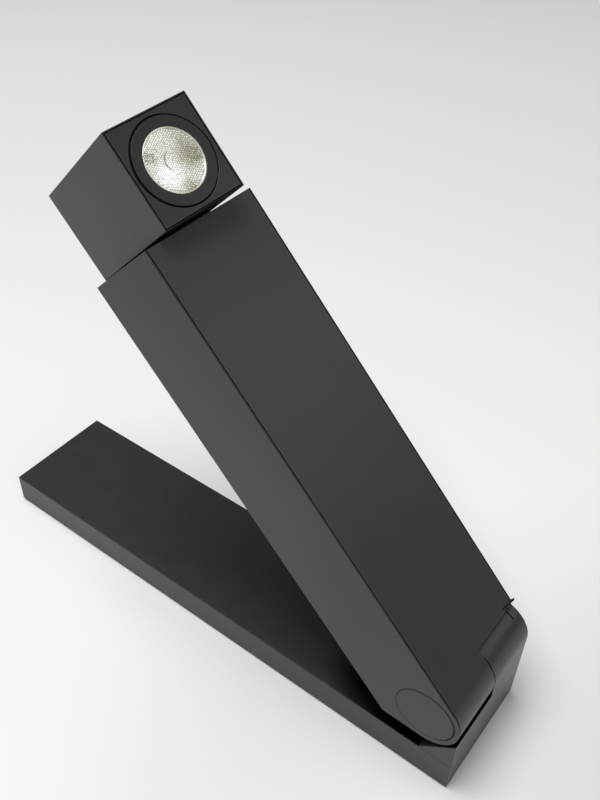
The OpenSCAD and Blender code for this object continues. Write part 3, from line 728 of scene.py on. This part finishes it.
def detailed_screws(node, body, way, head_t, finish):
    """Takes a node's plain screws away and puts screws with a recess in their places."""
    way = Vector(way).normalized()
    places = []
    for solid in islands(node):
        low = min(point.dot(way) for point in solid)
        face = [point for point in solid if point.dot(way) < low + 1e-5]
        places.append(sum(face, Vector()) / len(face))
    pattern = new_object("screw_pattern", socket_screw(SCREW_HEAD_R, head_t, SCREW_R, SCREW_LENGTH))
    points = new_mesh(node + " places", places)
    mesh = grown("detailed_" + node, points, screw_tree(), Piece=pattern, Way=tuple(way), Finish=finish)
    made = new_object("detailed_" + node, mesh)
    bpy.data.objects.remove(pattern)
    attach(made, body)
    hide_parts(node)


def block(name, low, high, place):
    """A box between two corners, placed by a matrix."""
    verts = [(x, y, z) for x in (low[0], high[0]) for y in (low[1], high[1]) for z in (low[2], high[2])]
    faces = [(0, 1, 3, 2), (4, 6, 7, 5), (0, 4, 5, 1), (2, 3, 7, 6), (0, 2, 6, 4), (1, 5, 7, 3)]
    mesh = new_mesh(name, verts, faces)
    mesh.transform(place)
    return mesh


def joined(name, *parts):
    """One mesh of several."""
    whole = bmesh.new()
    for part in parts:
        whole.from_mesh(part)
    made = bpy.data.meshes.new(name)
    whole.to_mesh(made)
    whole.free()
    return made


def hinge_leaf(finish):
    """The thin dark leaf at the far corner of the arm's notch, whose end sticks out past the far side; its
    dead black also stands in for the shade in the gap there, as a dark sheet of painted shade.
    """
    place = in_arm() @ Matrix.Translation(LEAF_END) @ Matrix.Rotation(-LEAF_SLANT, 4, "Z")
    blade = block("leaf", (-LEAF_HALF, -LEAF_LENGTH, -LEAF_BELOW), (LEAF_HALF, 0, LEAF_ABOVE), place)
    leg = block("leg", LEG_LOW, LEG_HIGH, in_arm())
    mesh = joined("leaf", blade, leg)
    mesh.materials.append(finish)
    made = new_object("hinge_leaf", mesh)
    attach(made, "arm")


def pebbled_lens(finish):
    """The collimating lens: a cone with a well over the light, and a face of small pebbles."""
    top = LENS_DEPTH + LENS_PROUD
    face = top - PEBBLE_SUNK * PEBBLE_BALL * PEBBLE_RISE
    skirt = face - LENS_SKIRT
    profile = [
        (WELL_R, WELL_DEPTH), (WELL_R, 0), (LENS_FOOT_R, 0), (LENS_R - MM, skirt - 0.4 * MM),
        (LENS_R, skirt), (LENS_R, top - 0.2 * MM), (LENS_R - 0.2 * MM, top), (LENS_R - 0.6 * MM, top),
        (LENS_R - 0.9 * MM, face),
    ]
    body = turned("lens body", profile, LENS_SIDES)
    pebbles = grown(
        "pebbles", new_mesh("pebble seat", []), pebble_tree(), Pitch=PEBBLE, Ball=PEBBLE_BALL,
        Rise=PEBBLE_RISE, Reach=LENS_R - PEBBLE_BORDER, Seed=PEBBLE_SEED, Finish=finish,
    )
    pebbles.transform(Matrix.Translation((0, 0, face)))
    data = joined("pebbled lens", body, pebbles)
    data.transform(in_head() @ Matrix.Translation((LIGHT_ALONG, 0, LENS_FOOT)))
    data.materials.append(finish)
    for polygon in data.polygons:
        polygon.use_smooth = True
    made = new_object("pebbled_lens", data)
    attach(made, "head")
    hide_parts("lens")


# Stage


def camera():
    data = bpy.data.cameras.new("camera")
    data.lens = CAMERA_LENS
    data.sensor_width = CAMERA_SENSOR
    data.shift_x, data.shift_y = CAMERA_SHIFT
    data.clip_start = 0.01
    made = new_object("camera", data)
    made.location = CAMERA_PLACE
    made.rotation_euler = [math.radians(angle) for angle in CAMERA_TURN]
    bpy.context.scene.camera = made
    bpy.context.scene.view_settings.view_transform = "Standard"


def floor():
    """One pale sheet, wide enough for every view."""
    f = Finish("pale floor", Roughness=0.9)
    tone = f.mix(f.noise(0.5, 2), *FLOOR_TONES)
    # Painted shadows of the lamp darken the floor here
    for middle, inner, outer, colour in FLOOR_SHADOWS:
        tone = f.mix(f.near(middle, inner, outer), tone, colour)
    pale = 1 - f.near((0, 0, 0), *FLOOR_PALE_REACH)
    f.set(Base_Color=f.mix(pale, tone, FLOOR_PALE))
    glow = 1 - f.near((0, 0, 0), *FLOOR_GLOW_REACH)
    f.set(Emission_Color=f.mix(glow, grey(0), FLOOR_GLOW))
    f.set(Emission_Strength=1.0)
    mesh = bmesh.new()
    bmesh.ops.create_grid(mesh, x_segments=1, y_segments=1, size=FLOOR_HALF)
    data = bpy.data.meshes.new("floor")
    mesh.to_mesh(data)
    mesh.free()
    data.transform(Matrix.Translation((0, 0, -FLOOR_DROP)))
    made = new_object("floor", data)
    data.materials.append(f.material)


def soft_light(name, place, aim, size, power):
    data = bpy.data.lights.new(name, "AREA")
    data.shape = "RECTANGLE"
    data.size, data.size_y = size
    data.energy = power
    made = new_object(name, data)
    made.location = place
    made.rotation_euler = (Vector(aim) - Vector(place)).to_track_quat("-Z", "Y").to_euler()


def lights():
    for light in LIGHTS:
        soft_light(*light)


def world():
    """A dim grey room that looks pale where the camera sees it past the floor."""
    made = bpy.data.worlds.new("studio")
    made.use_nodes = True
    tree = made.node_tree
    back = tree.nodes["Background"]
    back.inputs["Color"].default_value = ROOM_COLOUR
    seen = tree.nodes.new("ShaderNodeLightPath").outputs["Is Camera Ray"]
    level = tree.nodes.new("ShaderNodeMapRange")
    tree.links.new(seen, level.inputs["Value"])
    level.inputs["To Min"].default_value = ROOM_LIGHT
    level.inputs["To Max"].default_value = ROOM_SEEN
    tree.links.new(level.outputs["Result"], back.inputs["Strength"])
    bpy.context.scene.world = made


# Assembly


def finishes():
    coat = powder_coat()
    dress(powder_coat("base coat", dust_and_shade=wedge_shade), "base_casting")
    dress(coat, "arm_channel", "arm_cover", "arm_end_plate", "push_button", "head_back")
    dress(powder_coat("head coat", dust_and_shade=end_shade), "head_shell", "head_front")
    dress(powder_coat("black bezel coat", 0.018), "bezel_ring")
    dress(moulded_black(), "switch_carrier", "swivel_washer", "switch_plunger", "lens_holder")
    zinc = zinc_steel()
    dress(zinc, "ballast_screws", "driver_screws", "hinge_pin", "disc_springs", "hinge_nut", "power_socket")
    dress(zinc, "control_board_screws", "led_board_screws", "swivel_tube", "swivel_nut")
    oxide = black_screw()
    dress(oxide, "pin_grub_screw")
    hinge_leaf(leaf_black())
    light_way = in_head().to_3x3() @ Vector((0, 0, 1))
    detailed_screws("head_back_screws", "head", light_way, SCREW_HEAD_T, oxide)
    detailed_screws("arm_end_screws", "arm", -ARM_WAY, SCREW_HEAD_T, oxide)
    detailed_screws("bottom_cover_screws", "base", (0, 0, 1), FLAT_HEAD_T, oxide)
    dress(rolled_steel(), "ballast_plate")
    dress(powder_coat("painted steel sheet", 0.026), "bottom_cover")
    dress(pad_rubber(), "foot_pad")
    dress(circuit_green(), "driver_board", "switch_board", "control_board")
    dress(sintered_bronze(), "hinge_bushes")
    dress(slide_acetal(), "thrust_washer", "swivel_bush")
    dress(ribbon_jacket(), "arm_lead")
    pebbled_lens(silver_lens())
    dress(phosphor(), "led_chip")
    dress(extruded_aluminium(), "led_board", "heat_sink")


camera()
world()
lights()
floor()
finishes()
